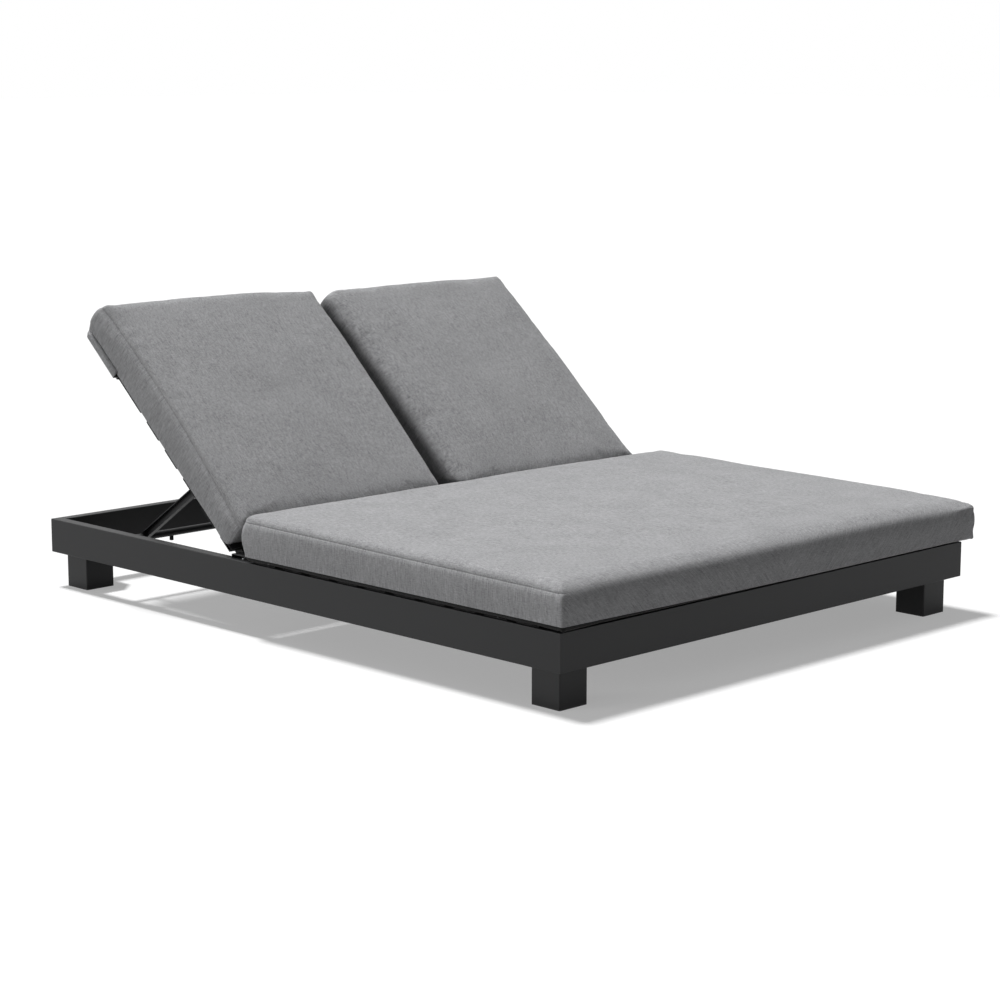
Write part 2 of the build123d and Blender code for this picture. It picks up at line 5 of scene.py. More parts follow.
import bpy
import numpy as np
from bpy.props import FloatProperty, FloatVectorProperty, PointerProperty
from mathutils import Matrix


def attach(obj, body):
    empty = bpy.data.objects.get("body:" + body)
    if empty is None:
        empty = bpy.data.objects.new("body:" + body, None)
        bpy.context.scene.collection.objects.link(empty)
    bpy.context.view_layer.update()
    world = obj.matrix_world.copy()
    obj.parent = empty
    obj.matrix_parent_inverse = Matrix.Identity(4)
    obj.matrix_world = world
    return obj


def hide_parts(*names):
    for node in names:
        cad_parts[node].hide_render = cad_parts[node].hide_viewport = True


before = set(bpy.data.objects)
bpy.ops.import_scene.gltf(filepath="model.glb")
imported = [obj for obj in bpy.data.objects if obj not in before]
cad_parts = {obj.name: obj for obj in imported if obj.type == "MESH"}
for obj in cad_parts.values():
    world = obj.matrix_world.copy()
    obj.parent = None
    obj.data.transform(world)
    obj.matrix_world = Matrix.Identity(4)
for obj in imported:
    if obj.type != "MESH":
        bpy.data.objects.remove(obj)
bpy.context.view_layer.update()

bl_info = {
    "name": "Double chaise lounger",
    "version": (1, 0, 0),
    "blender": (4, 5, 0),
    "location": "3D View > Sidebar > Lounger",
    "description": "Cushions, pockets, finishes and studio for a double chaise lounger",
    "category": "Object",
}

# Where the backrests turn, and how far they lean back at rest
HINGE_Y = 0.245
HINGE_Z = 0.180
RECLINE = math.radians(41.35)
# Height of the rails' top
RAIL_TOP = 0.193

# Each cushion's simulation: its frames, its inner pressure and the most that a point may move
SWELL_FRAMES = 20
SWELL_PRESSURE = 3.0
SWELL_CAP = 0.006
# How far the cushions stay above what carries them
CLEARANCE = 0.0003

# The head pockets, in a backrest's own frame. The mouth is a distance from the hinge line. The ledge
# is the height where the skin leaves the cushion's side, and the floor the height of its underside.
POCKET_MOUTH = 0.645
POCKET_LEDGE = 0.0165
POCKET_FLOOR = -0.0158
# How far the part above the ledge reaches at least, and how far the part below it may reach towards
# the side rail, the lounger's middle and the head rail
POCKET_SIDE = 0.7455
POCKET_OUTER_LIMIT = 0.7425
POCKET_INNER_LIMIT = 0.0490
POCKET_HEAD_LIMIT = 0.7310

# Where the two soft lights stand, as seen from the lounger
KEY_DIRECTION = (0.0, 0.29, 1.0)
FILL_DIRECTION = (-0.85, 0.45, 0.11)


# Properties


class CoverProperties(bpy.types.PropertyGroup):
    """Yarns and weave of the cushions' cover cloth."""

    dark_yarn: FloatVectorProperty(
        name="Dark yarn", description="Colour of the darker yarn",
        subtype="COLOR", size=3, min=0, max=1, default=(0.125, 0.125, 0.128))
    light_yarn: FloatVectorProperty(
        name="Light yarn", description="Colour of the lighter yarn",
        subtype="COLOR", size=3, min=0, max=1, default=(0.625, 0.626, 0.640))
    seam: FloatVectorProperty(
        name="Seam", description="Colour in the fold of a seam",
        subtype="COLOR", size=3, min=0, max=1, default=(0.085, 0.085, 0.088))
    thread_pitch: FloatProperty(
        name="Thread pitch", description="Distance from one thread to the next",
        subtype="DISTANCE", min=0.0004, max=0.01, default=0.0014)
    seam_width: FloatProperty(
        name="Seam width", description="Width of a seam's dark line",
        subtype="DISTANCE", min=0.0005, max=0.01, default=0.0019)
    # Painted shade: a near-black colour put along the seat's lower sides for the shadow gap over the rails, and
    # on the back cushions' inner sides for the shade in the gap between them.
    painted_shade: FloatVectorProperty(
        name="Backing", description="Colour of the cloth under the seat and of the sides' lining",
        subtype="COLOR", size=3, min=0, max=1, default=(0.006, 0.006, 0.006))


class CushionProperties(bpy.types.PropertyGroup):
    """Sizes of the seat and back cushions."""

    seat_left_edge: FloatProperty(
        name="Seat left edge", description="How far the seat cushion's left side is from the middle",
        subtype="DISTANCE", default=0.790)
    seat_right_edge: FloatProperty(
        name="Seat right edge", description="How far the seat cushion's right side is from the middle",
        subtype="DISTANCE", default=0.8115)
    seat_foot: FloatProperty(
        name="Seat foot end", description="Where the seat cushion ends at the foot",
        subtype="DISTANCE", default=-1.011)
    seat_rear: FloatProperty(
        name="Seat rear end", description="Where the seat cushion ends at the backrests",
        subtype="DISTANCE", default=0.146)
    seat_rest: FloatProperty(
        name="Seat rest height", description="Height of the slats that the seat cushion lies on",
        subtype="DISTANCE", default=0.205)
    left_inner_edge: FloatProperty(
        name="Left inner edge", description="How far the left cushion's inner side is from the middle",
        subtype="DISTANCE", default=0.011)
    right_inner_edge: FloatProperty(
        name="Right inner edge", description="How far the right cushion's inner side is from the middle",
        subtype="DISTANCE", default=0.020)
    left_taper: FloatProperty(
        name="Left taper", description="How much narrower the left cushion is at its low end",
        subtype="DISTANCE", default=0.028)
    left_outer_edge: FloatProperty(
        name="Left outer edge", description="How far the left cushion's outer side is from the middle",
        subtype="DISTANCE", default=0.760)
    right_outer_edge: FloatProperty(
        name="Right outer edge", description="How far the right cushion's outer side is from the middle",
        subtype="DISTANCE", default=0.744)
    back_low_end: FloatProperty(
        name="Back low end", description="Distance of a back cushion's low end from the hinge line",
        subtype="DISTANCE", default=0.012)
    left_head_end: FloatProperty(
        name="Left head end", description="Distance of the left cushion's head end from the hinge line",
        subtype="DISTANCE", default=0.825)
    right_head_end: FloatProperty(
        name="Right head end", description="Distance of the right cushion's head end from the hinge line",
        subtype="DISTANCE", default=0.803)
    back_rest: FloatProperty(
        name="Back rest height", description="Height of the back slats over the hinge line",
        subtype="DISTANCE", default=0.025)
    cloth_thickness: FloatProperty(
        name="Cloth thickness", description="Thickness of the head pockets' cloth",
        subtype="DISTANCE", min=0.0005, max=0.01, default=0.002)


class MetalProperties(bpy.types.PropertyGroup):
    """Coating and fittings of the frame."""

    coat: FloatVectorProperty(
        name="Powder coat", description="Colour of the frame's powder coat",
        subtype="COLOR", size=3, min=0, max=1, default=(0.025, 0.0253, 0.0262))
    zinc: FloatVectorProperty(
        name="Zinc", description="Colour of the zinc plated fittings",
        subtype="COLOR", size=3, min=0, max=1, default=(0.50, 0.51, 0.52))
    glide: FloatVectorProperty(
        name="Glide", description="Colour of the plastic glides",
        subtype="COLOR", size=3, min=0, max=1, default=(0.016, 0.016, 0.017))


class StudioProperties(bpy.types.PropertyGroup):
    """Floor and lights."""

    key_power: FloatProperty(
        name="Key power", description="Strength of the soft light overhead",
        min=0, max=20, default=3.25)
    key_spread: FloatProperty(
        name="Key spread", description="How wide the soft light looks from the object",
        subtype="ANGLE", min=0, max=math.pi, default=math.radians(10))
    fill_power: FloatProperty(
        name="Fill power", description="Strength of the low soft light at the left",
        min=0, max=20, default=0.85)
    fill_spread: FloatProperty(
        name="Fill spread", description="How wide the low light looks from the object",
        subtype="ANGLE", min=0, max=math.pi, default=math.radians(24))
    ambient: FloatProperty(
        name="Ambient", description="Light that comes from all round",
        min=0, max=1, default=0.10)
    floor_grey: FloatProperty(
        name="Floor grey", description="How much light the floor gives back to the object",
        min=0, max=1, default=0.36)
    floor_lit: FloatProperty(
        name="Floor lit", description="How light the lit floor looks to the camera",
        min=0, max=1, default=0.66)
    floor_white: FloatProperty(
        name="Floor white", description="Brightness that the camera sees on top of the lit floor",
        min=0, max=1, default=0.34)


# Shader maths


class Link:
    """A socket of a finish. Used in a Python expression, it adds the Math nodes."""

    def __init__(self, finish, socket):
        self.finish = finish
        self.socket = socket

    def math(self, operation, *values, clamp=False):
        return self.finish.node(
            "ShaderNodeMath", {"operation": operation, "use_clamp": clamp}, dict(enumerate(values)))

    def __add__(self, other):
        return self.math("ADD", self, other)

    def __radd__(self, other):
        return self.math("ADD", other, self)

    def __sub__(self, other):
        return self.math("SUBTRACT", self, other)

    def __rsub__(self, other):
        return self.math("SUBTRACT", other, self)

    def __mul__(self, other):
        return self.math("MULTIPLY", self, other)

    def __truediv__(self, other):
        return self.math("DIVIDE", self, other)

    def __pow__(self, other):
        return self.math("POWER", self, other)

    def __gt__(self, other):
        return self.math("GREATER_THAN", self, other)

    def __lt__(self, other):
        return self.math("LESS_THAN", self, other)

    def __abs__(self):
        return self.math("ABSOLUTE", self)

    def sine(self):
        return self.math("SINE", self)

    def clamped(self):
        return self.math("ADD", self, 0.0, clamp=True)

    def highest(self, other):
        return self.math("MAXIMUM", self, other)

    def line(self, width):
        """1 where this distance is 0, falling to 0 at half the width."""
        return (1 - abs(self) * (2 / width)).clamped()


class Finish:
    """A material or world under way: its node tree, and the one method that adds a node."""

    def __init__(self, owner):
        owner.use_nodes = True
        self.owner = owner
        self.tree = owner.node_tree
        self.tree.nodes.clear()

    def node(self, kind, settings=None, inputs=None, output=0):
        made = self.tree.nodes.new(kind)
        for key, value in (settings or {}).items():
            setattr(made, key, value)
        for key, value in (inputs or {}).items():
            if isinstance(value, Link):
                self.tree.links.new(value.socket, made.inputs[key])
            else:
                made.inputs[key].default_value = value
        return Link(self, made.outputs[output]) if len(made.outputs) else None

    def place(self, origin=(0, 0, 0), turn=0.0, output="Object"):
        """Object coordinates seen from the origin, turned back about X."""
        place = self.node("ShaderNodeTexCoord", output=output)
        return self.node("ShaderNodeMapping", {"vector_type": "TEXTURE"}, {
            "Vector": place, "Location": origin, "Rotation": (turn, 0, 0)})

    def facing(self, turn=0.0):
        """The surface's direction in the object's own frame, turned back about X."""
        return self.place(turn=turn, output="Normal")

    def split(self, vector):
        """The vector's three parts."""
        made = self.node("ShaderNodeSeparateXYZ", inputs={"Vector": vector})
        return [Link(self, socket) for socket in made.socket.node.outputs]

    def joined(self, x, y, z):
        return self.node("ShaderNodeCombineXYZ", inputs={"X": x, "Y": y, "Z": z})

    def noise(self, vector, scale, detail=2.0, rough=0.5):
        return self.node("ShaderNodeTexNoise", {"noise_dimensions": "3D"}, {
            "Vector": vector, "Scale": scale, "Detail": detail, "Roughness": rough})

    def blend(self, factor, first, second):
        """Colour between first and second."""
        return self.node(
            "ShaderNodeMix", {"data_type": "RGBA"}, {0: factor, 6: first, 7: second}, output=2)

    def bump(self, height, distance, strength=1.0, under=None):
        inputs = {"Height": height, "Distance": distance, "Strength": strength}
        if under is not None:
            inputs["Normal"] = under
        return self.node("ShaderNodeBump", inputs=inputs)

    def surface(self, inputs):
        shader = self.node("ShaderNodeBsdfPrincipled", inputs=inputs)
        self.node("ShaderNodeOutputMaterial", inputs={"Surface": shader})
        return self.owner


def shade(colour, gain=1.0):
    """The colour times a gain, with full alpha."""
    return (*[min(1, value * gain) for value in colour], 1.0)


# Finishes


def powder_coat(props, name, highlight_height=None):
    """Fine grained satin coat: two noises give its orange peel, a third a faint mottle.

    The height given last is that of a long edge with a painted highlight: on the side faces a thin
    band there is painted much lighter and made smoother, broken up by a noise, for the light that the
    rounded edge catches.
    """
    coat = Finish(bpy.data.materials.new(name))
    place = coat.place()
    grain = coat.noise(place, 900, 3, 0.6)
    peel = coat.noise(place, 260, 2)
    mottle = coat.noise(place, 6, 3)
    colour = coat.blend(
        (grain * 0.5 + mottle * 0.5).clamped(), shade(props.coat, 0.82), shade(props.coat, 1.22))
    height = grain * 0.6 + peel * 0.4
    rough = 0.40 + grain * 0.10 + mottle * 0.06
    # Painted highlight: along the long edge at the given height, the side faces are painted lighter and
    # smoother.
    if highlight_height is not None:
        level = coat.split(place)[2]
        up = coat.split(coat.facing())[2]
        highlight_patches = coat.noise(place, 14, 3) * 1.4
        wear_and_highlight = (level - highlight_height).line(0.005) * (1 - abs(up)) * highlight_patches
        colour = coat.blend(wear_and_highlight.clamped(), colour, shade(props.coat, 5))
        rough = rough - wear_and_highlight.clamped() * 0.10
    return coat.surface({
        "Base Color": colour,
        "Roughness": rough,
        "Specular IOR Level": 0.2,
        "Normal": coat.bump(height, 0.00025, 0.55),
    })


def zinc_plate(props, name):
    """Plated steel: fine brushed lines along each part and a cloudy tone."""
    zinc = Finish(bpy.data.materials.new(name))
    place = zinc.place()
    x, y, z = zinc.split(place)
    lines = zinc.noise(zinc.joined(x * 2500, y * 160, z * 2500), 1.0, 2)
    cloud = zinc.noise(place, 40, 3)
    colour = zinc.blend(
        (lines * 0.5 + cloud * 0.5).clamped(), shade(props.zinc, 0.72), shade(props.zinc, 1.15))
    return zinc.surface({
        "Base Color": colour,
        "Metallic": 0.9,
        "Roughness": 0.30 + cloud * 0.16,
        "Normal": zinc.bump(lines, 0.0002, 0.4),
    })


def glide_plastic(props, name):
    """Moulded black plastic with a fine spark grain."""
    glide = Finish(bpy.data.materials.new(name))
    place = glide.place()
    grain = glide.noise(place, 1400, 2)
    wear_and_highlight = glide.noise(place, 90, 3)
    return glide.surface({
        "Base Color": glide.blend(wear_and_highlight, shade(props.glide, 0.8), shade(props.glide, 1.5)),
        "Roughness": 0.62 + grain * 0.15,
        "Normal": glide.bump(grain, 0.0003, 0.5),
    })


def woven_cover(props, name, seams, turn=0.0, origin=(0.0, 0.0, 0.0)):
    """Heather grey cloth: long flecks along the warp, short ones across, a plain weave and sewn edges.

    seams is a function of the three coordinates. It gives a seam's dark line, the height beside it,
    where the near-black painted shade goes, and where the cloth belongs to a side panel.
    """
    cloth = Finish(bpy.data.materials.new(name))
    place = cloth.place(origin, turn)
    x, y, z = cloth.split(place)
    across_face, _, up_face = cloth.split(cloth.facing(turn))
    fold, welt, painted_shade_mask, panel = seams(x, y, z)
    roll = (abs(across_face) > 0.45) * (1 - panel)
    flat = (abs(up_face) > 0.70).highest(roll)
    side = (abs(across_face) > 0.70) * panel
    warp = y * flat + z * (1 - flat)
    weft = (abs(x) - z) * (1 - side) + y * side
    depth = z * flat + (x + y) * (1 - flat) * 0.5
    run = 34 + flat * 36
    long_flecks = cloth.noise(cloth.joined(weft * 430, warp * run, depth * 60), 1.0, 3, 0.6)
    cross_flecks = cloth.noise(cloth.joined(weft * 120, warp * 420, depth * 60), 1.0, 3, 0.6)
    fine = cloth.noise(cloth.joined(weft * 900, warp * 700, depth * 60), 1.0, 2)
    mottle = cloth.noise(place, 9, 3)
    tone = 0.5 + (long_flecks - 0.5) * 0.95 + (cross_flecks - 0.5) * 0.75
    tone = (tone + (fine - 0.5) * 0.5 + (mottle - 0.5) * 0.22).clamped()
    yarn = cloth.blend(tone, shade(props.dark_yarn), shade(props.light_yarn))
    turns = 2 * math.pi / props.thread_pitch
    weave = (weft * turns).sine() * (warp * turns).sine()
    colour = cloth.blend(fold, yarn, shade(props.seam))
    # Painted shade: near-black where the seams' mask says, for the shadow gap under the seat's edge and the
    # shade between the back cushions.
    colour = cloth.blend(painted_shade_mask, colour, shade(props.painted_shade))
    threads = weave * 0.3 + fine * 0.35 + long_flecks * 0.35
    woven = cloth.bump(threads, 0.0007, 0.55)
    sewn = cloth.bump(welt, 0.0016, 0.6, woven)
    return cloth.surface({
        "Base Color": colour,
        "Roughness": 0.94,
        "Specular IOR Level": 0.18,
        "Sheen Weight": 0.12,
        "Sheen Roughness": 0.5,
        "Normal": sewn,
    })


def pocket_hem(x, y, z):
    """The row of stitches of the doubled hem at a pocket's mouth."""
    turn_in = 0.016
    stitch_pitch = 0.005
    row = (y - (POCKET_MOUTH + turn_in)).line(0.0016)
    dashes = (x * (2 * math.pi / stitch_pitch)).sine() > -0.3
    return row * dashes * 0.6, 1 - row, 0.0, 1.0


def side_panels(props, centre, half_width, ends, painted_shade, crest, strength, outward=0):
    """Seams round each side panel of a cushion, and where painted shade goes.

    The upper seam runs at crest, a function of the distance along, and the upright ones near both
    ends. The fifth argument is a function of the distance across that gives the height up to which
    near-black painted shade covers the lower side, for the shadow gap under the seat. Where it's None,
    the side away from outward gets painted shade instead, from its roll down, for the shade in the gap
    between the back cushions. Where outward is -1 or 1, only that side has seams.
    """
    start, end = ends
    width = props.seam_width
    groove_width = width * 3
    side_depth = 0.020
    painted_shade_depth = 0.045
    painted_shade_top = 0.124
    painted_shade_strength = 0.62

    def seams(x, y, z):
        reach = (x - centre) * outward if outward else abs(x - centre)
        on_side = reach > half_width - side_depth
        below = z < crest(y) + width
        inside = (y > start - width) * (y < end + width)
        top = (z - crest(y)).line(width) * inside
        upright = (y - start).line(width).highest((y - end).line(width)) * below
        fold = top.highest(upright * 0.4) * on_side * strength
        groove = (z - crest(y)).line(groove_width) * inside
        for place in (start, end):
            groove = groove.highest((y - place).line(groove_width) * below)
        groove = groove * on_side
        if painted_shade is None:
            # Painted shade on the inner side below its roll, for the shade in the gap between the back
            # cushions.
            inner = (centre - x) * outward > half_width - painted_shade_depth
            painted_shade_mask = inner * ((painted_shade_top - z) * 40).clamped() * painted_shade_strength
        else:
            # Painted shade, near-black, along the seat's lower sides up to the given height, for the shadow gap
            # over the rails.
            painted_shade_mask = z < painted_shade(x)
        return fold, 1 - groove, painted_shade_mask, below
    return seams


def seat_crest(along):
    """Height of the seat cushion's upper seam, which climbs in a line from the foot end."""
    return (along + 1.0) * 0.0119 + 0.2875


def seat_shade_edge(x):
    """Height of the edge of the near-black painted shade along the seat's lower sides, for the shadow gap over
    the rails; it climbs to the left as a power of the distance.
    """
    return 0.2000 + ((0.15 - x) / 0.92).clamped() ** 1.2 * 0.0106


def back_crest(along):
    """Height of a back cushion's upper seam, a parabola with its top 0.5 m from the hinge line."""
    from_top = along - 0.5
    return 0.131 - from_top * from_top * 0.11


# Surfaces


def put_mesh(name, points, faces):
    """A new piece from its points and faces, shaded smooth."""
    mesh = bpy.data.meshes.new(name)
    mesh.from_pydata(np.asarray(points).tolist(), [], faces)
    mesh.validate()
    mesh.shade_smooth()
    piece = bpy.data.objects.new(name, mesh)
    bpy.context.scene.collection.objects.link(piece)
    return piece


def read_points(mesh):
    """The mesh's points as one array."""
    flat = np.zeros(len(mesh.vertices) * 3, np.float32)
    mesh.vertices.foreach_get("co", flat)
    return flat.reshape(-1, 3).astype(float)


def write_points(mesh, points):
    """Moves the mesh's points to those of the array."""
    mesh.vertices.foreach_set("co", np.asarray(points, np.float32).ravel())
    mesh.update()


def smoothstep(value, low, high):
    """Rises from 0 at low to 1 at high with level ends."""
    share = np.clip((value - low) / (high - low), 0, 1)
    return share * share * (3 - 2 * share)


def outline(half_width, half_length, radii, bows, side_steps=60, corner_steps=12):
    """Points and outward directions round a rectangle with a radius at each corner.

    Corners go from low left round to high left. Each side bows out as a parabola, by bows[0] at the
    sides and bows[1] at the ends.
    """
    places, facings = [], []
    signs = [(-1, -1), (1, -1), (1, 1), (-1, 1)]
    for index, (sx, sy) in enumerate(signs):
        radius = radii[index]
        centre = np.array([sx * (half_width - radius), sy * (half_length - radius)])
        first = math.radians(180 + 90 * index)
        angle = first + np.linspace(0, math.pi / 2, corner_steps)
        facing = np.stack([np.cos(angle), np.sin(angle)], 1)
        places.append(centre + radius * facing)
        facings.append(facing)
        nx, ny = signs[(index + 1) % 4]
        following = radii[(index + 1) % 4]
        target = np.array([nx * (half_width - following), ny * (half_length - following)])
        target = target + following * facing[-1]
        share = np.linspace(0, 1, side_steps + 2)[1:-1, None]
        places.append(places[-1][-1] * (1 - share) + target * share)
        facings.append(np.repeat(facing[-1:], side_steps, 0))
    place = np.concatenate(places)
    facing = np.concatenate(facings)
    swell_side = bows[0] * (1 - (place[:, 1] / half_length) ** 2) * facing[:, 0] ** 2
    swell_end = bows[1] * (1 - (place[:, 0] / half_width) ** 2) * facing[:, 1] ** 2
    place = place + facing * (swell_side + swell_end)[:, None]
    return place, facing


def by_side(facing, left, right, low, high):
    """A value that goes from one side's to the next's round the corner between them."""
    side = np.where(facing[:, 0] < 0, left, right)
    end = np.where(facing[:, 1] < 0, low, high)
    return side * facing[:, 0] ** 2 + end * facing[:, 1] ** 2


def cushion_rings(form):
    """Rings of a stuffed cushion, from the middle of its underside to the middle of its face.

    Each ring is the outline drawn in by an inset at a height: a quarter round below, a bulged wall, a
    quarter of an ellipse above, then the face, which rises from the edge height by the crown, a
    product of two cubic falls.
    """
    place, facing = outline(form["half"][0], form["half"][1], form["corners"], form["bows"])
    low_round = by_side(facing, *form["low_round"])[None, :]
    top_round = by_side(facing, *form["top_round"])[None, :]
    top_drop = by_side(facing, *form["top_drop"])[None, :]
    bulge = by_side(facing, *form["bulge"])[None, :]
    base = form["base"]
    rim = form["rim"](place[:, 1])[None, :]
    fall = np.linspace(0, math.pi / 2, 7)[:, None]
    wall = np.linspace(0, 1, 9)[1:-1, None]
    rise = np.linspace(0, math.pi / 2, 9)[:, None]
    insets = np.concatenate([
        bulge + low_round * (1 - np.sin(fall)),
        bulge * (2 * wall - 1) ** 2,
        bulge + top_round * (1 - np.cos(rise)),
    ])
    heights = np.concatenate([
        base + low_round * (1 - np.cos(fall)),
        base + low_round + (rim - top_drop - base - low_round) * wall,
        rim - top_drop * (1 - np.sin(rise)),
    ])
    flat = place[None] - facing[None] * insets[..., None]
    inner = np.linspace(0, 1, 34)[1:-1]
    under = flat[:1] * inner[:, None, None]
    over = flat[-1:] * inner[::-1][:, None, None]
    flat = np.concatenate([under, flat, over])
    low = np.full((len(inner), flat.shape[1]), base)
    top = form["rim"](over[..., 1])
    heights = np.concatenate([low, heights, top])
    crown = form["crown"] * (1 - np.abs(flat[..., 0] / form["half"][0]) ** 3)
    crown = crown * (1 - np.abs(flat[..., 1] / form["half"][1]) ** 3)
    share = np.clip((heights - base) / (rim - base), 0, 1.2)
    heights = heights + np.clip(crown, 0, None) * share ** 2
    return np.concatenate([flat, heights[..., None]], 2)


def close_rings(rings):
    """Points and faces of a closed skin over the rings, with a pole at each end."""
    count, around = rings.shape[:2]
    points = np.concatenate([rings.reshape(-1, 3), rings[:1].mean(1), rings[-1:].mean(1)])
    ring, step = np.meshgrid(np.arange(count - 1), np.arange(around), indexing="ij")
    following = (step + 1) % around
    quads = np.stack([
        ring * around + step, ring * around + following,
        (ring + 1) * around + following, (ring + 1) * around + step], -1).reshape(-1, 4)
    step = np.arange(around)
    following = (step + 1) % around
    last = (count - 1) * around
    low = np.stack([following, step, np.full(around, count * around)], 1)
    top = np.stack([last + step, last + following, np.full(around, count * around + 1)], 1)
    return points, quads.tolist() + low.tolist() + top.tolist()


def evaluated_mesh(piece):
    """A new mesh with what the piece's modifiers make of it at this frame."""
    seen = bpy.context.evaluated_depsgraph_get()
    return bpy.data.meshes.new_from_object(piece.evaluated_get(seen), depsgraph=seen)


def apply_modifiers(piece):
    """The piece's mesh becomes what its modifiers make of it."""
    made = evaluated_mesh(piece)
    piece.modifiers.clear()
    piece.data = made


def remesh(piece, voxel):
    """An even skin of squares over the closed form."""
    modifier = piece.modifiers.new("even skin", "REMESH")
    modifier.mode = "VOXEL"
    modifier.voxel_size = voxel
    modifier.use_smooth_shade = True
    apply_modifiers(piece)
    ease = piece.modifiers.new("ease", "SMOOTH")
    ease.factor = 0.5
    ease.iterations = 6
    apply_modifiers(piece)


def swell(piece):
    """Cloth under inner pressure for a few frames. No point keeps more than the cap of its move."""
    start = read_points(piece.data)
    cloth = piece.modifiers.new("cover", "CLOTH")
    settings = cloth.settings
    settings.quality = 3
    settings.mass = 0.3
    settings.tension_stiffness = 20
    settings.compression_stiffness = 15
    settings.shear_stiffness = 8
    settings.bending_stiffness = 1.5
    settings.use_pressure = True
    settings.uniform_pressure_force = SWELL_PRESSURE
    settings.effector_weights.gravity = 0.0
    cloth.collision_settings.use_collision = False
    cloth.point_cache.frame_start = 1
    cloth.point_cache.frame_end = SWELL_FRAMES
    for number in range(1, SWELL_FRAMES + 1):
        bpy.context.scene.frame_set(number)
    moved = evaluated_mesh(piece)
    move = read_points(moved) - start
    piece.modifiers.clear()
    bpy.data.meshes.remove(moved)
    bpy.context.scene.frame_set(1)
    length = np.linalg.norm(move, axis=1, keepdims=True)
    write_points(piece.data, start + move * np.minimum(1, SWELL_CAP / np.maximum(length, 1e-9)))


def fit(points, half, base):
    """Stretches a cushion evenly across and along to its full size, and sets it down at base."""
    low, high = points.min(0), points.max(0)
    points = points.copy()
    for axis, reach in enumerate(half):
        share = (points[:, axis] - low[axis]) / (high[axis] - low[axis])
        points[:, axis] = (2 * share - 1) * reach
    points[:, 2] += base - low[2]
    return points


def tighten(points, half, base, under, corners, outward=0):
    """Turns the round edges under and up the corners of a cushion into tighter ones.

    Within reach of both faces of an edge, a point is moved out from the reach's inner corner until
    the sum of its two distances, each to the power, is one, and no further than the faces. under and
    corners are each a reach and a power, and corners may be None. Where outward is -1 or 1, only that
    side is treated.
    """
    points = points.copy()
    side = np.sign(outward) if outward else np.sign(points[:, 0])
    end = np.sign(points[:, 1])

    def depths():
        return {
            "x": half[0] - points[:, 0] * side,
            "y": half[1] - points[:, 1] * end,
            "z": points[:, 2] - base,
        }

    edges = [("x", "z", under), ("y", "z", under)]
    if corners is not None:
        edges.append(("x", "y", corners))
    for first, second, (reach, power) in edges:
        depth = depths()
        one = np.clip(1 - depth[first] / reach, 0, 1)
        two = np.clip(1 - depth[second] / reach, 0, 1)
        both = (one > 0) & (two > 0)
        tight_size = np.maximum((one ** power + two ** power) ** (1 / power), 1e-6)
        gain = np.where(both, np.sqrt(one ** 2 + two ** 2) / tight_size, 1.0)
        for key, share in ((first, one), (second, two)):
            new = (1 - np.minimum(share * gain, 1)) * reach
            depth[key] = np.where(both, new, depth[key])
        points[:, 0] = side * (half[0] - depth["x"])
        points[:, 1] = end * (half[1] - depth["y"])
        points[:, 2] = base + depth["z"]
    return points


def refine(piece):
    """Each square becomes four rounder ones."""
    finer = piece.modifiers.new("finer", "SUBSURF")
    finer.levels = 1
    finer.render_levels = 1
    apply_modifiers(piece)


def droop(points, base, overhang, depth):
    """Lowers the underside by depth where it hangs over what carries it, less and less up the side."""
    points = points.copy()
    under = 1 - smoothstep(points[:, 2], base, base + 0.030)
    points[:, 2] -= depth * under * overhang
    return points


def sew_in(points, reach, half_width, crest, width, depth):
    """Draws the cushion's sides in along the seam at height crest, as a bell across the seam.

    reach is how far each point is towards the sewn side.
    """
    points = points.copy()
    on_side = smoothstep(reach, half_width - 0.030, half_width - 0.018)
    bell = np.exp(-((points[:, 2] - crest(points[:, 1])) / width) ** 2) * on_side
    points[:, 0] -= np.sign(points[:, 0]) * bell * depth
    points[:, 2] -= bell * depth * 0.6
    return points


def leaned(points):
    """From a backrest's own frame, across, along and up from the hinge line, to the lounger's."""
    x, along, up = points[:, 0], points[:, 1], points[:, 2]
    y = HINGE_Y + along * math.cos(RECLINE) - up * math.sin(RECLINE)
    z = HINGE_Z + along * math.sin(RECLINE) + up * math.cos(RECLINE)
    return np.stack([x, y, z], 1)


def soft_waves(points, size, height, phase):
    """Low swells: three crossed sine waves of unlike lengths."""
    x, y = points[:, 0], points[:, 1]
    first = np.sin(x / size * 2.1 + y / size * 1.3 + phase)
    second = np.sin(x / size * -1.1 + y / size * 2.7 + phase * 2.3)
    third = np.sin(x / size * 3.3 - y / size * 0.7 + phase * 3.1)
    return height * (first + second + third) / 3


def make_cushion(name, form, voxel):
    """A cushion in its own flat frame: closed rings, an even skin, then swelling."""
    points, faces = close_rings(cushion_rings(form))
    piece = put_mesh(name, points, faces)
    remesh(piece, voxel * (1.0))
    swell(piece)
    refine(piece)
    write_points(piece.data, fit(read_points(piece.data), form["half"], form["base"]))
    return piece


def seat_form(props):
    """The seat cushion's form. Its top edge rises from the foot end as a square root."""
    length = props.seat_rear - props.seat_foot
    middle = (props.seat_rear + props.seat_foot) / 2
    foot_height = 0.297
    climb = 0.015
    top = (0.016, 0.010, 0.026, 0.020)

    def rim(along):
        share = np.clip((along + length / 2) / length, 0, 1)
        return foot_height + climb * np.sqrt(share)

    return {
        "half": ((props.seat_left_edge + props.seat_right_edge) / 2, length / 2),
        "middle": ((props.seat_right_edge - props.seat_left_edge) / 2, middle),
        "corners": (0.009, 0.009, 0.014, 0.014),
        "bows": (0.0, 0.0),
        "low_round": (0.005, 0.005, 0.006, 0.012),
        "top_round": top,
        "top_drop": top,
        "bulge": (0.002, 0.002, 0.004, 0.012),
        "base": props.seat_rest,
        "rim": rim,
        "crown": 0.008,
    }


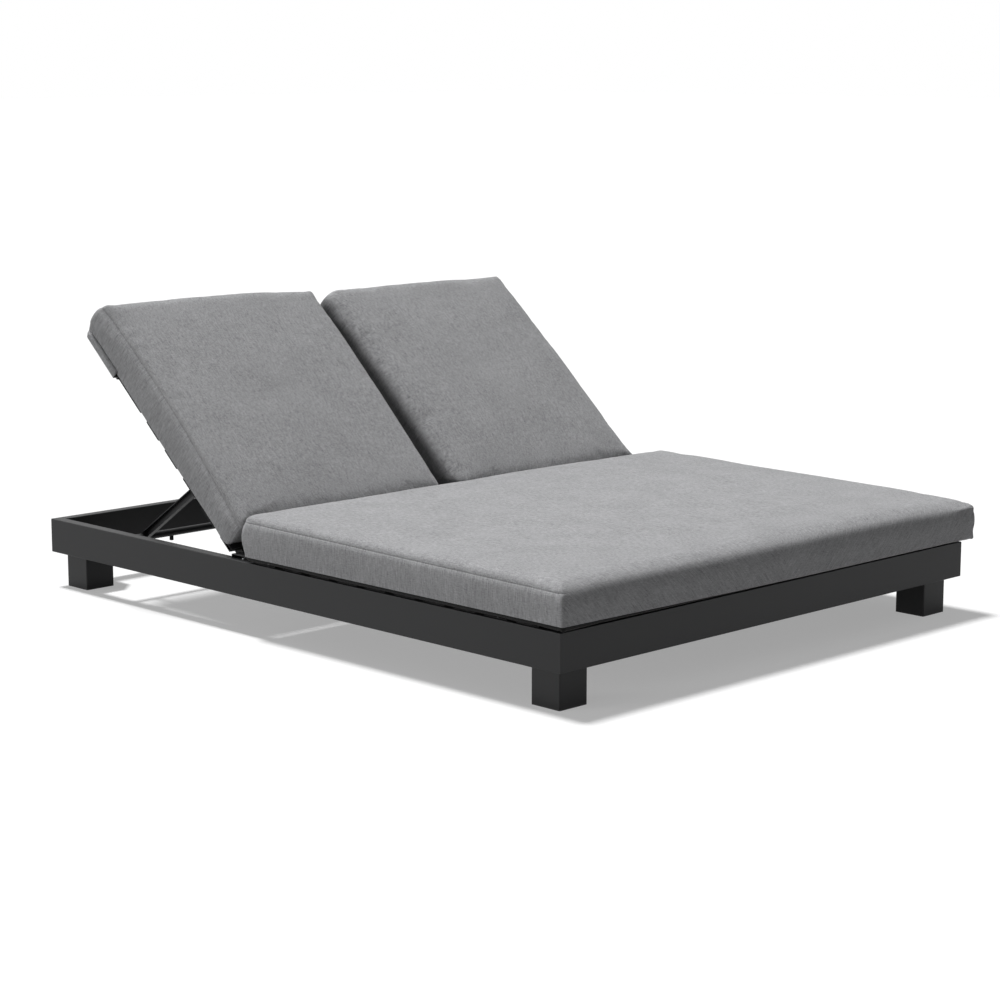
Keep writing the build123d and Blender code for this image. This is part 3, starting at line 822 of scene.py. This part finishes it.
def shape_seat(props, form, points):
    """The swollen seat cushion's points with tight edges, set in place and sewn.

    Turned upside down for it, the top edge is tightened near the right side. The top sinks towards
    the right side and more towards the right foot corner, each with a smooth step.
    """
    half = form["half"]
    upside_down = (1, 1, -1)
    points = tighten(points, half, props.seat_rest, under=(0.022, 8), corners=(0.020, 3))
    top_face = -form["rim"](points[:, 1]) - 0.003
    over = tighten(points * upside_down, half, top_face, under=(0.022, 6), corners=None, outward=1)
    near_right = smoothstep(points[:, 0], half[0] - 0.12, half[0] - 0.03)[:, None]
    points = points * (1 - near_right) + over * upside_down * near_right
    right_sink = 0.0046
    corner_sink = 0.0040
    sunk = right_sink * smoothstep(points[:, 0], 0.25, 0.78)
    sunk += corner_sink * smoothstep(points[:, 0], 0.55, 0.80) * smoothstep(-points[:, 1], 0.25, 0.56)
    points[:, 2] -= sunk * smoothstep(points[:, 2], props.seat_rest, 0.30)
    top = smoothstep(points[:, 2], 0.26, 0.30)
    points[:, 2] += top * soft_waves(points, size=0.16, height=0.0012, phase=0.4)
    points[:, 2] = np.maximum(points[:, 2], props.seat_rest + CLEARANCE)
    reach = np.abs(points[:, 0])
    points[:, :2] += form["middle"]
    past_sides = smoothstep(np.abs(points[:, 0]), 0.7645, 0.775)
    past_foot = smoothstep(-points[:, 1], 0.915, 0.950)
    points = droop(points, props.seat_rest, np.maximum(past_sides, past_foot), depth=0.0120)
    return sew_in(points, reach, half[0], seat_crest, width=0.005, depth=0.0014)


def back_span(props, sign):
    """Middle across, half width and head end of one back cushion."""
    if sign < 0:
        inner, outer, head = props.left_inner_edge, props.left_outer_edge, props.left_head_end
    else:
        inner, outer, head = props.right_inner_edge, props.right_outer_edge, props.right_head_end
    return sign * (outer + inner) / 2, (outer - inner) / 2, head


def back_form(props, sign):
    """A back cushion's form. Its top edge is a parabola, highest at the cushion's middle."""
    across, half_width, head = back_span(props, sign)
    length = head - props.back_low_end
    middle = (head + props.back_low_end) / 2
    end_height = 0.132
    climb = 0.010
    if sign < 0:
        top_sides, drop_sides, bulge_sides = (0.022, 0.020), (0.022, 0.020), (0.003, 0.004)
        corners = (0.024, 0.024, 0.014, 0.016)
    else:
        top_sides, drop_sides, bulge_sides = (0.060, 0.022), (0.024, 0.022), (0.003, 0.003)
        corners = (0.050, 0.010, 0.022, 0.050)

    def rim(along):
        return end_height + climb * (1 - (along / (length / 2)) ** 2)

    return {
        "half": (half_width, length / 2),
        "middle": (across, middle),
        "corners": corners,
        "bows": (0.0, 0.006),
        "low_round": (0.005, 0.005, 0.018, 0.014),
        "top_round": (*top_sides, 0.012, 0.018),
        "top_drop": (*drop_sides, 0.012, 0.018),
        "bulge": (*bulge_sides, 0.004, 0.009),
        "base": props.back_rest,
        "rim": rim,
        "crown": 0.009,
    }


def head_fall(x, along):
    """How much shorter the left cushion's head end gets towards its inner side, as a power curve."""
    most = 0.013
    begins = -0.38
    span = 0.37
    inward = np.clip((x - begins) / span, 0, 1) ** 1.8
    return most * inward * smoothstep(along, 0.66, 0.80)


def shape_back(props, form, sign, points):
    """A swollen back cushion's points with tight edges, in its backrest's own frame, sewn.

    The left cushion narrows towards its low end and its head end leans, both in straight lines. The
    right one flares at its low end with a smooth step.
    """
    half_width, half_length = form["half"]
    head_lean = 0.09
    lean_height = 0.085
    low_flare = 0.009
    points = tighten(
        points, form["half"], props.back_rest, under=(0.018, 7), corners=(0.030, 4), outward=sign)
    top = smoothstep(points[:, 2], 0.09, 0.13)
    points[:, 2] += top * soft_waves(points, size=0.11, height=0.0014, phase=1.0 + sign)
    points[:, 2] = np.maximum(points[:, 2], props.back_rest + CLEARANCE)
    reach = points[:, 0] * sign
    if sign < 0:
        inward = (half_width - reach) / (2 * half_width)
        lowness = 0.5 - points[:, 1] / (2 * half_length)
        points[:, 0] -= props.left_taper * inward * lowness
        at_head = smoothstep(points[:, 1], half_length - 0.06, half_length)
        points[:, 1] += at_head * (lean_height - points[:, 2]) * head_lean
    else:
        lowness = smoothstep(-points[:, 1], half_length - 0.15, half_length)
        points[:, 0] += low_flare * lowness * smoothstep(reach, 0.0, half_width)
    points[:, :2] += form["middle"]
    if sign < 0:
        points[:, 1] -= head_fall(points[:, 0], points[:, 1])
    from_middle = np.abs(points[:, 0])
    past_outer = smoothstep(from_middle, 0.7420, 0.749)
    past_inner = smoothstep(-from_middle, -0.050, -0.041)
    points = droop(points, props.back_rest, np.maximum(past_outer, past_inner), depth=0.0100)
    return sew_in(points, reach, half_width, back_crest, width=0.008, depth=0.0030)


def column(*values):
    """One value for each row of a grid."""
    return np.array(values)[:, None]


def pocket_rim(half_width, length):
    """Points and outward directions round a pocket's sides and head, from mouth corner to corner."""
    place, facing = outline(half_width, length, (0.004, 0.004, 0.024, 0.024), (0.0, 0.005), 70)
    keep = place[:, 1] >= -1e-6
    order = np.argsort(np.arctan2(place[keep][:, 1] + 1e-4, place[keep][:, 0]))
    place, facing = place[keep][order], facing[keep][order]
    place[0, 1] = place[-1, 1] = 0.0
    return place, facing


def pocket_high_rows(place, facing):
    """Rows above the ledge, which follow the cushion: the rim drawn in by an inset at each height."""
    share = facing[:, 1][None] ** 2 * (facing[:, 1][None] > 0)
    side_inset = column(0.0065, 0.0010, 0.0015)
    head_inset = column(0.0050, 0.0025, 0.0080)
    inset = side_inset * (1 - share) + head_inset * share
    flat = place[None] - facing[None] * inset[..., None]
    height = np.repeat(column(0.038, 0.023, POCKET_LEDGE), len(place), 1)
    return flat, height


def pocket_low_rows(place, half_width, length, across, sign):
    """Rows below the ledge: rectangles with square corners that step in from the limits.

    They close round the head panel, and near the mouth they hug it.
    """
    hug = 1 - smoothstep(place[:, 1][None], 0.0, 0.085)
    side_step = column(0.0, 0.0004, 0.0055, 0.0155, 0.0285) * (1 - hug)
    side_step += column(0.0, 0.0004, 0.0055, 0.0300, 0.0410) * hug
    head_step = column(0.0, 0.0004, 0.0022, 0.0082, 0.0172)
    height = column(POCKET_LEDGE, 0.0060, 0.0000, -0.0120, POCKET_FLOOR) * (1 - hug)
    height += column(POCKET_LEDGE, 0.0100, 0.0090, 0.0080, POCKET_FLOOR) * hug
    square = place / (half_width, length)
    square = square / np.abs(square).max(1)[:, None]
    outer_room = POCKET_OUTER_LIMIT - abs(across)
    inner_room = abs(across) - POCKET_INNER_LIMIT
    side_room = np.where(square[:, 0] * sign > 0, outer_room, inner_room)[None]
    flat_x = square[None, :, 0] * (side_room - side_step)
    flat_y = square[None, :, 1] * (POCKET_HEAD_LIMIT - POCKET_MOUTH - head_step)
    return np.stack([flat_x, flat_y], 2), height


def pocket_grid(props, sign):
    """The head pocket's skin, as rows of points carried round its two sides and its head.

    The rows above the ledge follow the cushion and those below it the head panel. The last ones draw
    the underside level to the pocket's middle line. A smooth step at the mouth lowers the hem.
    """
    across, half_width, head = back_span(props, sign)
    play = 0.0015
    slack = max(0.0, POCKET_SIDE - (abs(across) + half_width - play))
    half_width += slack / 2 - play
    across += sign * slack / 2
    length = head - 0.006 - POCKET_MOUTH
    place, facing = pocket_rim(half_width, length)
    high, high_height = pocket_high_rows(place, facing)
    low, low_height = pocket_low_rows(place, half_width, length, across, sign)
    flat = np.concatenate([high, low])
    flat[..., 1] = np.maximum(flat[..., 1], 0)
    spine = np.stack([np.zeros(len(place)), np.minimum(flat[-1][:, 1], 0.040)], 1)
    inner = np.linspace(0, 1, 16)[1:, None, None]
    floor = flat[-1:] * (1 - inner) + spine[None] * inner
    floor_height = np.full((len(inner), len(place)), POCKET_FLOOR)
    flat = np.concatenate([flat, floor])
    height = np.concatenate([high_height, low_height, floor_height])
    hem = 1 - smoothstep(flat[..., 1], 0.015, 0.019)
    hem_drop = 0.0012
    height = height - hem_drop * hem * (height < 0.014)
    points = np.concatenate([flat, height[..., None]], 2)
    points[..., 0] += across
    points[..., 1] += POCKET_MOUTH
    if sign < 0:
        follows = len(high)
        points[:follows, :, 1] -= head_fall(points[:follows, :, 0], points[:follows, :, 1])
    return points


def sheet_faces(rows, columns):
    """Squares between the rows of a grid."""
    row, column_at = np.meshgrid(np.arange(rows - 1), np.arange(columns - 1), indexing="ij")
    first = row * columns + column_at
    corners = np.stack([first, first + 1, first + columns + 1, first + columns], -1)
    return corners.reshape(-1, 4).tolist()


# Pieces


class LOUNGER_OT_finish_frame(bpy.types.Operator):
    """Give every metal and plastic part of the frame its finish"""

    bl_idname = "lounger.finish_frame"
    bl_label = "Finish the frame"

    def execute(self, context):
        props = context.scene.lounger_metal
        # The rails' coat gets a painted highlight along their top edges.
        rails = powder_coat(props, "rail powder coat", RAIL_TOP)
        metal = powder_coat(props, "charcoal powder coat")
        zinc = zinc_plate(props, "zinc plate")
        plastic = glide_plastic(props, "glide plastic")
        for name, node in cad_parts.items():
            if name.endswith("glides"):
                chosen = plastic
            elif name.endswith(("bolts", "screws", "pins")):
                chosen = zinc
            elif name.startswith("rail"):
                chosen = rails
            else:
                chosen = metal
            if not node.material_slots:
                node.data.materials.append(chosen)
            for slot in node.material_slots:
                slot.material = chosen
        return {"FINISHED"}


class LOUNGER_OT_make_seat_cushion(bpy.types.Operator):
    """Make the double seat cushion that lies on the slats"""

    bl_idname = "lounger.make_seat_cushion"
    bl_label = "Make the seat cushion"

    def execute(self, context):
        props = context.scene.lounger_cushions
        cover = context.scene.lounger_cover
        form = seat_form(props)
        piece = make_cushion("seat_pad", form, voxel=0.010)
        write_points(piece.data, shape_seat(props, form, read_points(piece.data)))
        ends = (props.seat_foot + 0.002, props.seat_rear - 0.004)
        # The seat's lower sides get near-black painted shade for the shadow gap over the rails.
        seams = side_panels(
            cover, form["middle"][0], form["half"][0], ends, seat_shade_edge, seat_crest, strength=0.5)
        piece.data.materials.append(woven_cover(cover, "seat cover", seams))
        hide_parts("seat_cushion")
        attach(piece, "base")
        return {"FINISHED"}


class LOUNGER_OT_make_back_cushions(bpy.types.Operator):
    """Make the two back cushions"""

    bl_idname = "lounger.make_back_cushions"
    bl_label = "Make the back cushions"

    def execute(self, context):
        props = context.scene.lounger_cushions
        cover = context.scene.lounger_cover
        for sign, side in ((-1, "left"), (1, "right")):
            form = back_form(props, sign)
            piece = make_cushion(f"{side}_back_pad", form, voxel=0.008)
            points = shape_back(props, form, sign, read_points(piece.data))
            write_points(piece.data, leaned(points))
            head = form["middle"][1] + form["half"][1]
            ends = (props.back_low_end + 0.012, head - 0.010)
            # With no height function, the inner side gets painted shade for the gap between the two cushions.
            seams = side_panels(
                cover, form["middle"][0], form["half"][0], ends, None, back_crest,
                strength=0.32, outward=sign)
            cloth = woven_cover(cover, f"{side} back cover", seams, RECLINE, (0, HINGE_Y, HINGE_Z))
            piece.data.materials.append(cloth)
            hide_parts(f"{side}_back_cushion")
            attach(piece, f"{side}_backrest")
        return {"FINISHED"}


class LOUNGER_OT_make_pockets(bpy.types.Operator):
    """Make the cloth pocket behind the head end of each back cushion"""

    bl_idname = "lounger.make_pockets"
    bl_label = "Make the head pockets"

    def execute(self, context):
        props = context.scene.lounger_cushions
        cover = context.scene.lounger_cover
        for sign, side in ((-1, "left"), (1, "right")):
            grid = pocket_grid(props, sign)
            rows, columns = grid.shape[:2]
            faces = sheet_faces(rows, columns)
            piece = put_mesh(f"{side}_head_pocket", leaned(grid.reshape(-1, 3)), faces)
            wall = piece.modifiers.new("cloth", "SOLIDIFY")
            wall.thickness = props.cloth_thickness
            wall.offset = -1.0
            cloth = woven_cover(
                cover, f"{side} pocket cloth", pocket_hem, RECLINE, (0, HINGE_Y, HINGE_Z))
            piece.data.materials.append(cloth)
            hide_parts(f"{side}_hood")
            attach(piece, f"{side}_backrest")
        return {"FINISHED"}


class LOUNGER_OT_make_stage(bpy.types.Operator):
    """Make the floor, the lights and the camera"""

    bl_idname = "lounger.make_stage"
    bl_label = "Make the stage"

    def execute(self, context):
        props = context.scene.lounger_studio
        self.make_floor(props)
        self.make_world(context.scene, props)
        self.make_light("soft key", props.key_power, props.key_spread, KEY_DIRECTION)
        self.make_light("soft fill", props.fill_power, props.fill_spread, FILL_DIRECTION)
        self.make_camera(context.scene)
        context.scene.view_settings.view_transform = "Standard"
        return {"FINISHED"}

    def seen_white(self, finish):
        """1 for rays that come from the camera, a reflection or glass."""
        path = finish.node("ShaderNodeLightPath")
        outputs = path.socket.node.outputs
        seen = Link(finish, outputs["Is Camera Ray"])
        seen = seen.highest(Link(finish, outputs["Is Glossy Ray"]))
        return seen.highest(Link(finish, outputs["Is Transmission Ray"]))

    def make_floor(self, props):
        reach = 60.0
        corners = [(-reach, -reach, 0), (reach, -reach, 0), (reach, reach, 0), (-reach, reach, 0)]
        floor = put_mesh("studio_floor", corners, [(0, 1, 2, 3)])
        white = Finish(bpy.data.materials.new("studio floor"))
        seen = self.seen_white(white)
        grey = shade([props.floor_grey] * 3)
        pale = shade([props.floor_lit] * 3)
        lit = white.node("ShaderNodeBsdfDiffuse", inputs={"Color": white.blend(seen, grey, pale)})
        glow = white.node("ShaderNodeEmission", inputs={
            "Color": (1, 1, 1, 1), "Strength": seen * props.floor_white})
        both = white.node("ShaderNodeAddShader", inputs={0: lit, 1: glow})
        white.node("ShaderNodeOutputMaterial", inputs={"Surface": both})
        floor.data.materials.append(white.owner)

    def make_world(self, scene, props):
        world = bpy.data.worlds.new("studio")
        sky = Finish(world)
        ambient = sky.node("ShaderNodeBackground", inputs={
            "Color": (0.98, 0.99, 1.0, 1), "Strength": props.ambient})
        backdrop = sky.node("ShaderNodeBackground", inputs={"Color": (1, 1, 1, 1), "Strength": 1.0})
        seen = self.seen_white(sky)
        mixed = sky.node("ShaderNodeMixShader", inputs={0: seen, 1: ambient, 2: backdrop})
        sky.node("ShaderNodeOutputWorld", inputs={"Surface": mixed})
        scene.world = world

    def make_light(self, name, power, spread, towards):
        """A distant soft light that stands in the direction given, as seen from the object."""
        light = bpy.data.lights.new(name, "SUN")
        light.energy = power
        light.angle = spread
        lamp = bpy.data.objects.new(name, light)
        bpy.context.scene.collection.objects.link(lamp)
        towards = np.array(towards) / np.linalg.norm(towards)
        lamp.rotation_euler = (math.acos(towards[2]), 0, math.atan2(towards[0], -towards[1]))

    def make_camera(self, scene):
        lens = bpy.data.cameras.new("camera")
        lens.lens = 90.91
        lens.sensor_width = 36
        lens.clip_end = 200
        eye = bpy.data.objects.new("camera", lens)
        eye.location = (-4.7855, -4.8706, 1.4978)
        eye.rotation_euler = (math.radians(90 - 10.133), 0, math.radians(-44.542))
        scene.collection.objects.link(eye)
        scene.camera = eye


class LOUNGER_PT_panel(bpy.types.Panel):
    """The lounger's pieces, in the order that they are made"""

    bl_idname = "LOUNGER_PT_panel"
    bl_label = "Double chaise lounger"
    bl_space_type = "VIEW_3D"
    bl_region_type = "UI"
    bl_category = "Lounger"

    def draw(self, context):
        for piece in OPERATORS:
            self.layout.operator(piece.bl_idname)
        for name in GROUPS:
            group = getattr(context.scene, name)
            box = self.layout.box()
            for key in group.__annotations__:
                box.prop(group, key)


OPERATORS = (
    LOUNGER_OT_finish_frame,
    LOUNGER_OT_make_seat_cushion,
    LOUNGER_OT_make_back_cushions,
    LOUNGER_OT_make_pockets,
    LOUNGER_OT_make_stage,
)
GROUPS = {
    "lounger_cover": CoverProperties,
    "lounger_cushions": CushionProperties,
    "lounger_metal": MetalProperties,
    "lounger_studio": StudioProperties,
}


def register():
    for group in GROUPS.values():
        bpy.utils.register_class(group)
    for name, group in GROUPS.items():
        setattr(bpy.types.Scene, name, PointerProperty(type=group))
    for operator in OPERATORS:
        bpy.utils.register_class(operator)
    bpy.utils.register_class(LOUNGER_PT_panel)


def unregister():
    bpy.utils.unregister_class(LOUNGER_PT_panel)
    for operator in reversed(OPERATORS):
        bpy.utils.unregister_class(operator)
    for name, group in GROUPS.items():
        delattr(bpy.types.Scene, name)
        bpy.utils.unregister_class(group)


def main():
    register()
    bpy.ops.lounger.finish_frame()
    bpy.ops.lounger.make_seat_cushion()
    bpy.ops.lounger.make_back_cushions()
    bpy.ops.lounger.make_pockets()
    bpy.ops.lounger.make_stage()


if __name__ == "__main__":
    main()
